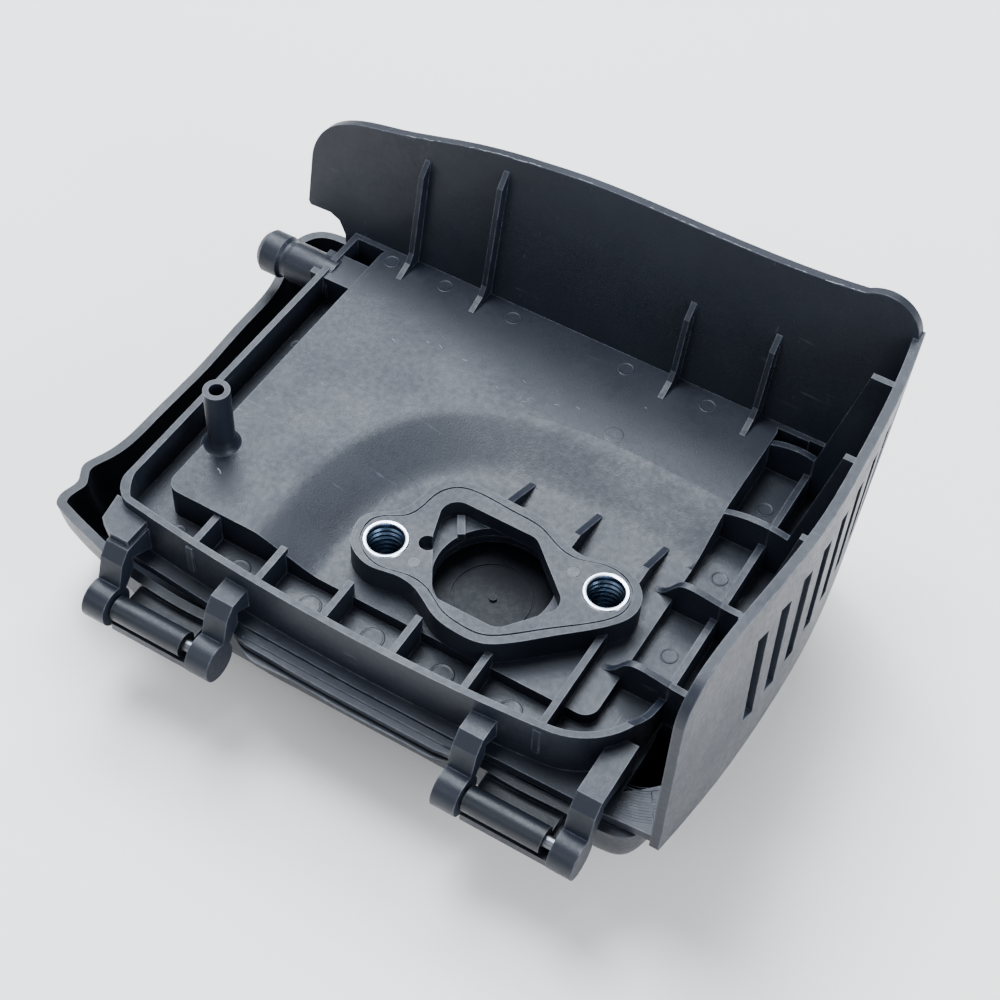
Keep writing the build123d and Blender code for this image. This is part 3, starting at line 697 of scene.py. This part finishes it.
FLOOR_LEVEL = -12.5
FLOOR_STEP = [(39.9, -21.2), (41.6, -21.0), (43.8, -20.0), (45.9, -18.2), (47.2, -16.6)]
FLOOR_BRANCH = [(44.4, -19.7), (45.6, -21.8), (47.2, -24.2), (48.4, -26.2)]
ARC_CENTRE = (39.4, -15.4)
ARC_COUNT = 13
ARC_FIRST = 5.2
ARC_SPACING = 0.55
ARC_STRETCH = 1.25


def tooling_arc(number):
    """One of the fine arcs, kept to the part of the floor that is open."""
    radius = ARC_FIRST + ARC_SPACING * number
    arc = []
    for k in range(7):
        angle = math.radians(-104 + 9.5 * k)
        x = ARC_CENTRE[0] + radius * math.cos(angle) * ARC_STRETCH
        y = ARC_CENTRE[1] + radius * math.sin(angle)
        if 39.6 < x < 48.3 and y > -27.2:
            arc.append((x, y, FLOOR_LEVEL))
    return arc


def floor_lines():
    """Curved step lines and fine arcs of the tooling on the floor beside the side wall."""
    parts = []
    for line, radius in ((FLOOR_STEP, 0.12), (FLOOR_BRANCH, 0.1)):
        parts.append(tube([(x, y, FLOOR_LEVEL) for x, y in line], radius))
    for i in range(ARC_COUNT):
        arc = tooling_arc(i)
        if len(arc) > 2:
            parts.append(tube(arc, 0.05, 5))
    verts, faces = joined(parts)
    mesh_piece("floor_tooling_lines", verts, faces, HOUSING)


floor_lines()


def roof_arc():
    """Thin witness line of a round insert beside the flange."""
    line = []
    for k in range(13):
        angle = math.radians(-38 + 13 * k)
        x = -27.6 + 5.0 * math.cos(angle)
        y = 8.6 + 4.6 * math.sin(angle)
        level = surface_height("base_housing", x, y, ABOVE_ROOF)
        if level is not None:
            line.append((x, y, level))
    verts, faces = tube(line, 0.05, 5)
    mesh_piece("roof_witness_line", verts, faces, HOUSING)


roof_arc()


def lip_ridge():
    """Low ridge along the stepped front lip."""
    line = []
    for k in range(25):
        x = -36.0 + 45.5 * k / 24
        y = -30.35 - 0.35 * math.sin(math.pi * min(1.0, (k + 4) / 14) / 2)
        level = surface_height("base_housing", x, y, ABOVE_LIP)
        if level is not None:
            line.append((x, y, level + 0.02))
    verts, faces = tube(line, 0.22, 8)
    mesh_piece("front_lip_ridge", verts, faces, HOUSING)


lip_ridge()


def crest_point(x):
    """Inner edge of the back wall's top at one place along it."""
    best = None
    for k in range(80):
        y = 60.0 + 0.18 * k
        level = surface_height("carburettor_shroud", x, y, ABOVE_WALL)
        if level is None or level <= 8.0:
            continue
        if best is None or level > best[2] + 0.25:
            best = (x, y, level)
    return best


def crest_flash():
    """Rough parting-line flash along the top of the back wall, with gaps."""
    rng = random.Random(7)
    parts = []
    line = []
    for k in range(190):
        x = -76.0 + 0.6 * k
        rough = noise.noise(Vector((x * 0.13, 0.0, 5.0)))
        point = crest_point(x)
        if point is None or rough < -0.12:
            if len(line) > 2:
                parts.append(tube(line, rng.uniform(0.06, 0.1), 5))
            line = []
            continue
        y = point[1] + rng.uniform(-0.05, 0.12)
        z = point[2] - 0.05 + rng.uniform(-0.08, 0.04)
        line.append((x, y, z))
    if len(line) > 2:
        parts.append(tube(line, 0.08, 5))
    verts, faces = joined(parts)
    mesh_piece("back_wall_flash", verts, faces, NICK)


crest_flash()


# ---- filter ----------------------------------------------------------------------------

PLEATS = 16
STEPS_PER_FOLD = 9
PLEAT_ROWS = 26
HALF_PAPER = 0.28
# Near 1 gives straight flanks and tight folds.
FOLD_SHARPNESS = 0.985


def pleat_line(left, right, middle, height):
    """Zigzag of rounded folds, as (x, z) points."""
    steps = PLEATS * 2 * STEPS_PER_FOLD
    line = []
    for i in range(steps + 1):
        phase = math.pi * PLEATS * 2 * i / steps + math.pi / 2
        fold = math.asin(FOLD_SHARPNESS * math.sin(phase)) / math.asin(FOLD_SHARPNESS)
        line.append((left + (right - left) * i / steps, middle + height * fold))
    return line


def sheet_faces(steps, rows):
    """Faces of a closed sheet: two grids of points, one behind the other, and their rims."""
    faces = []
    width = rows + 1
    layer = (steps + 1) * width
    for i in range(steps):
        for j in range(rows):
            a = i * width + j
            b = a + width
            faces.append((a, b, b + 1, a + 1))
            faces.append((layer + a + 1, layer + b + 1, layer + b, layer + a))
        for j in (0, rows):
            a = i * width + j
            b = a + width
            faces.append((a, b, layer + b, layer + a))
    for i in (0, steps):
        for j in range(rows):
            a = i * width + j
            b = a + 1
            faces.append((a, b, layer + b, layer + a))
    return faces


def pleated_paper():
    """Folded filter paper with rounded folds and a slight waviness."""
    low, high = box_mm("filter_pleats")
    middle = (low.z + high.z) / 2
    height = (high.z - low.z) / 2 - HALF_PAPER - 0.1
    line = pleat_line(low.x + 0.9, high.x - 0.9, middle, height)
    last = len(line) - 1
    verts = []
    for side in (1, -1):
        for i, (x, z) in enumerate(line):
            a = line[max(i - 1, 0)]
            b = line[min(i + 1, last)]
            length = math.hypot(b[0] - a[0], b[1] - a[1])
            nx = -(b[1] - a[1]) / length
            nz = (b[0] - a[0]) / length
            for j in range(PLEAT_ROWS + 1):
                y = low.y + 0.15 + (high.y - low.y - 0.3) * j / PLEAT_ROWS
                wave = 0.3 * noise.noise(Vector((x * 0.35, y * 0.09, 3.0)))
                wave *= 1.0 - abs(z - middle) / (height + 0.01)
                verts.append((x + nx * HALF_PAPER * side + wave, y, z + nz * HALF_PAPER * side))
    faces = sheet_faces(last, PLEAT_ROWS)
    piece = outward(mesh_piece("folded_filter_paper", verts, faces, PAPER))
    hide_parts("filter_pleats")


pleated_paper()


WIRE_RADIUS = 0.15
WIRE_SWAY = 0.14
WIRES_ALONG = 40
WIRES_ACROSS = 33
BORDER = 1.2


def spread(low, high, count):
    """Places of the wires between two borders."""
    return [low + 0.8 + (high - low - 1.6) * i / count for i in range(count + 1)]


def border_strip(low, high):
    """Flat rectangular strip round the screen."""
    corners = [(low.x, low.y), (high.x, low.y), (high.x, high.y), (low.x, high.y)]
    inward = [(1, 1), (-1, 1), (-1, -1), (1, -1)]
    verts = []
    faces = []
    for inset, z in ((0.0, low.z), (BORDER, low.z), (BORDER, high.z), (0.0, high.z)):
        for (x, y), (sx, sy) in zip(corners, inward):
            verts.append((x + sx * inset, y + sy * inset, z))
    for ring in range(4):
        after = (ring + 1) % 4
        for k in range(4):
            n = (k + 1) % 4
            faces.append((ring * 4 + k, ring * 4 + n, after * 4 + n, after * 4 + k))
    return verts, faces


def woven_screen():
    """Woven wire screen inside a flat border strip."""
    low, high = box_mm("filter_screen")
    middle = (low.z + high.z) / 2
    xs = spread(low.x, high.x, WIRES_ALONG)
    ys = spread(low.y, high.y, WIRES_ACROSS)
    parts = []
    for i, x in enumerate(xs):
        line = [(x, y, middle + WIRE_SWAY * (1 if (i + j) % 2 else -1)) for j, y in enumerate(ys)]
        parts.append(tube(line, WIRE_RADIUS, 5))
    for j, y in enumerate(ys):
        line = [(x, y, middle - WIRE_SWAY * (1 if (i + j) % 2 else -1)) for i, x in enumerate(xs)]
        parts.append(tube(line, WIRE_RADIUS, 5))
    parts.append(border_strip(low, high))
    verts, faces = joined(parts)
    piece = outward(mesh_piece("woven_wire_screen", verts, faces, WIRE))
    split_edges(piece, 50)
    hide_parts("filter_screen")


woven_screen()


FOAM_ROUNDING = 1.2
FOAM_CUTS = 60


def foam_point(unit, half, inner):
    """Place on the rounded, uneven skin of the pad for a point of a two-unit cube."""
    point = Vector((unit.x * half.x, unit.y * half.y, unit.z * half.z))
    core = Vector([max(-i, min(i, p)) for p, i in zip(point, inner)])
    away = point - core
    if away.length > 1e-6:
        point = core + away.normalized() * min(away.length, FOAM_ROUNDING)
    skin = noise.noise(Vector((point.x * 0.55, point.y * 0.55, point.z * 0.8))) * 0.5 + 0.5
    fine = noise.noise(Vector((point.x * 2.1, point.y * 2.1, 7.0))) * 0.5 + 0.5
    point *= 1.0 - 0.004 * fine
    point.z -= math.copysign(0.22 * skin + 0.12 * fine, point.z)
    return point


def foam_pad():
    """Soft foam pad with rounded edges and an uneven skin."""
    low, high = box_mm("filter_foam")
    centre = (low + high) / 2
    half = (high - low) / 2
    inner = Vector((half.x - 1.5, half.y - 1.5, half.z - FOAM_ROUNDING))
    work = bmesh.new()
    bmesh.ops.create_cube(work, size=2.0)
    bmesh.ops.subdivide_edges(work, edges=work.edges[:], cuts=FOAM_CUTS, use_grid_fill=True)
    for vert in work.verts:
        vert.co = (centre + foam_point(vert.co, half, inner)) * MM
    mesh = bpy.data.meshes.new("foam_pad")
    work.to_mesh(mesh)
    work.free()
    smooth_faces(mesh)
    piece = linked("foam_pad", mesh)
    give(piece, FOAM)
    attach(piece, "housing")
    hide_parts("filter_foam")


foam_pad()


# ---- stage -----------------------------------------------------------------------------

FLOOR_FRONT = -3.0
FLOOR_BACK = 1.6
FLOOR_CURVE = 0.8
FLOOR_TOP = 3.0
FLOOR_HALF_WIDTH = 4.0
FLOOR_GAP = 0.0001


def sweep():
    """Pale floor that curves up behind the object."""
    profile = [(FLOOR_FRONT, 0.0), (FLOOR_BACK, 0.0)]
    for i in range(1, 17):
        angle = math.pi / 2 * i / 16
        y = FLOOR_BACK + FLOOR_CURVE * math.sin(angle)
        z = FLOOR_CURVE - FLOOR_CURVE * math.cos(angle)
        profile.append((y, z))
    profile.append((FLOOR_BACK + FLOOR_CURVE, FLOOR_TOP))
    verts = []
    faces = []
    for y, z in profile:
        verts += [(-FLOOR_HALF_WIDTH, y, z), (FLOOR_HALF_WIDTH, y, z)]
    for i in range(len(profile) - 1):
        faces.append((2 * i, 2 * i + 1, 2 * i + 3, 2 * i + 2))
    mesh = bpy.data.meshes.new("floor")
    mesh.from_pydata(verts, [], faces)
    smooth_faces(mesh)
    obj = linked("floor", mesh)
    obj.location.z = CAD_LOW.z - FLOOR_GAP
    give(obj, painted_floor("floor_paper"))


def area_light(name, place, target, size, energy, colour):
    """Rectangular softbox at a place, turned to a target."""
    light = bpy.data.lights.new(name, "AREA")
    light.shape = "RECTANGLE"
    light.size, light.size_y = size
    light.energy = energy
    light.color = colour
    obj = linked(name, light)
    obj.location = place
    obj.rotation_mode = "QUATERNION"
    obj.rotation_quaternion = (Vector(target) - Vector(place)).to_track_quat("-Z", "Y")


sweep()
area_light(
    "back_softbox",
    place=(-0.32, 0.6, 0.82),
    target=(0, 0.01, 0),
    size=(0.7, 0.42),
    energy=19.0,
    colour=(0.84, 0.91, 1.0),
)
area_light(
    "top_softbox",
    place=(-0.31, 0.15, 1.0),
    target=(0, 0, 0),
    size=(0.44, 0.42),
    energy=16.0,
    colour=(0.86, 0.92, 1.0),
)
area_light(
    "right_softbox",
    place=(1.0, -0.25, 0.42),
    target=(0.02, 0.01, 0),
    size=(0.5, 0.6),
    energy=14.0,
    colour=(0.86, 0.92, 1.0),
)
area_light(
    "front_softbox",
    place=(-0.35, -1.0, 0.75),
    target=(0, 0, 0),
    size=(0.8, 0.5),
    energy=4.0,
    colour=(0.88, 0.93, 1.0),
)

world = bpy.data.worlds.new("studio")
world.use_nodes = True
background = world.node_tree.nodes["Background"]
background.inputs["Color"].default_value = (0.86, 0.92, 1.0, 1.0)
background.inputs["Strength"].default_value = 0.62
bpy.context.scene.world = world


# ---- camera ----------------------------------------------------------------------------

# The camera's own right and backward directions, and where it stands.
CAMERA_RIGHT = Vector((0.85927, 0.51007, 0.03848)).normalized()
CAMERA_BACK = Vector((0.29484, -0.55536, 0.77759)).normalized()
CAMERA_PLACE = (0.0972, -0.1827, 0.2751)

camera = bpy.data.cameras.new("camera")
camera.sensor_width = 36.0
camera.lens = 67.39
camera.clip_start = 0.02
camera.clip_end = 20.0
camera_obj = linked("camera", camera)
camera_up = CAMERA_BACK.cross(CAMERA_RIGHT).normalized()
camera_turn = Matrix((CAMERA_RIGHT, camera_up, CAMERA_BACK)).transposed()
camera_obj.matrix_world = Matrix.Translation(CAMERA_PLACE) @ camera_turn.to_4x4()
bpy.context.scene.camera = camera_obj
